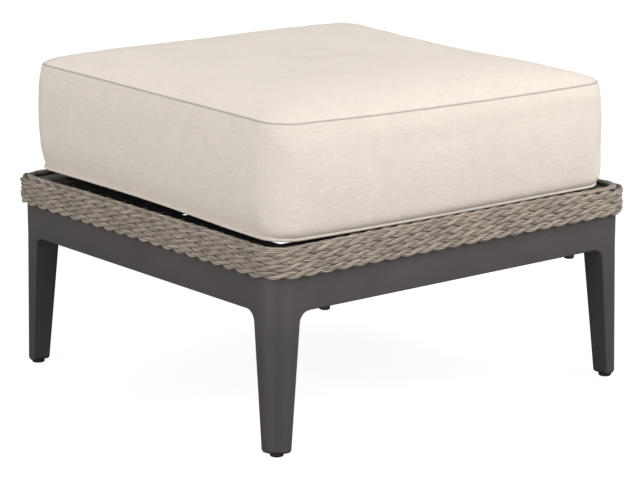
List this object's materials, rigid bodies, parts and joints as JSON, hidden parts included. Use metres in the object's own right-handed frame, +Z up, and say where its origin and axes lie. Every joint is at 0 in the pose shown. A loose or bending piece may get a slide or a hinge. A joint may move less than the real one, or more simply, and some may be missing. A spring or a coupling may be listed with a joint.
{
  "type": "outdoor ottoman footstool",
  "caption": "Square outdoor ottoman: tapered legs and flush aprons in dark powder coat, a rope-wound seat frame with woven webbing, and a loose box cushion with a corded lower seam.",
  "frame": {"origin": "on the floor, under the middle of the base", "axes": "+X to the right along the front, +Y to the back, where the cushion's zip is, +Z up"},
  "size_m": [0.6766, 0.6466, 0.4752],
  "materials": {
    "frame_coat": "satin",
    "seat_frame_coat": "satin",
    "black_plastic": "matte",
    "glide_plastic": "matte",
    "dark_zinc": "satin",
    "webbing": "matte",
    "rope": "matte",
    "linen_cover": "matte",
    "foam": "matte",
    "zip_tape": "matte",
    "zip_metal": "satin"
  },
  "bodies": {
    "base": {"leg_front_left": "frame_coat", "leg_plug_front_left": "black_plastic", "seat_corner_front_left": "seat_frame_coat", "rail_bolt_front_left": "dark_zinc", "bolt_washer_front_left": "dark_zinc", "rail_nut_front_left": "dark_zinc", "leg_front_right": "frame_coat", "leg_plug_front_right": "black_plastic", "seat_corner_front_right": "seat_frame_coat", "rail_bolt_front_right": "dark_zinc", "bolt_washer_front_right": "dark_zinc", "rail_nut_front_right": "dark_zinc", "leg_back_right": "frame_coat", "leg_plug_back_right": "black_plastic", "seat_corner_back_right": "seat_frame_coat", "rail_bolt_back_right": "dark_zinc", "bolt_washer_back_right": "dark_zinc", "rail_nut_back_right": "dark_zinc", "leg_back_left": "frame_coat", "leg_plug_back_left": "black_plastic", "seat_corner_back_left": "seat_frame_coat", "rail_bolt_back_left": "dark_zinc", "bolt_washer_back_left": "dark_zinc", "rail_nut_back_left": "dark_zinc", "apron_front": "frame_coat", "seat_rail_front": "seat_frame_coat", "apron_right": "frame_coat", "seat_rail_right": "seat_frame_coat", "apron_back": "frame_coat", "seat_rail_back": "seat_frame_coat", "apron_left": "frame_coat", "seat_rail_left": "seat_frame_coat", "webbing_across_1": "webbing", "webbing_lengthwise_1": "webbing", "webbing_across_2": "webbing", "webbing_lengthwise_2": "webbing", "webbing_across_3": "webbing", "webbing_lengthwise_3": "webbing", "webbing_across_4": "webbing", "webbing_lengthwise_4": "webbing", "webbing_across_5": "webbing", "webbing_lengthwise_5": "webbing", "rope_winding": "rope"},
    "glide_front_left": {"glide_front_left": "glide_plastic"},
    "glide_front_right": {"glide_front_right": "glide_plastic"},
    "glide_back_right": {"glide_back_right": "glide_plastic"},
    "glide_back_left": {"glide_back_left": "glide_plastic"},
    "cushion": {"cushion_core": "foam", "cushion_top_panel": "linen_cover", "cushion_bottom_panel": "linen_cover", "cushion_boxing": "linen_cover", "cushion_welt": "linen_cover", "zip_tape": "zip_tape"},
    "zip_slider": {"zip_slider": "zip_metal"}
  },
  "joints": [
    {"name": "glide_front_left_screw_out", "type": "slide", "parent": "base", "child": "glide_front_left", "axis": [0, 0, -1], "range_m": [0, 0.008]},
    {"name": "glide_front_right_screw_out", "type": "slide", "parent": "base", "child": "glide_front_right", "axis": [0, 0, -1], "range_m": [0, 0.008]},
    {"name": "glide_back_right_screw_out", "type": "slide", "parent": "base", "child": "glide_back_right", "axis": [0, 0, -1], "range_m": [0, 0.008]},
    {"name": "glide_back_left_screw_out", "type": "slide", "parent": "base", "child": "glide_back_left", "axis": [0, 0, -1], "range_m": [0, 0.008]},
    {"name": "cushion_lift_off", "type": "slide", "parent": "base", "child": "cushion", "axis": [0, 0, 1], "range_m": [0, 0.25]},
    {"name": "zip_open", "type": "slide", "parent": "cushion", "child": "zip_slider", "axis": [-1, 0, 0], "range_m": [0, 0.456]}
  ]
}
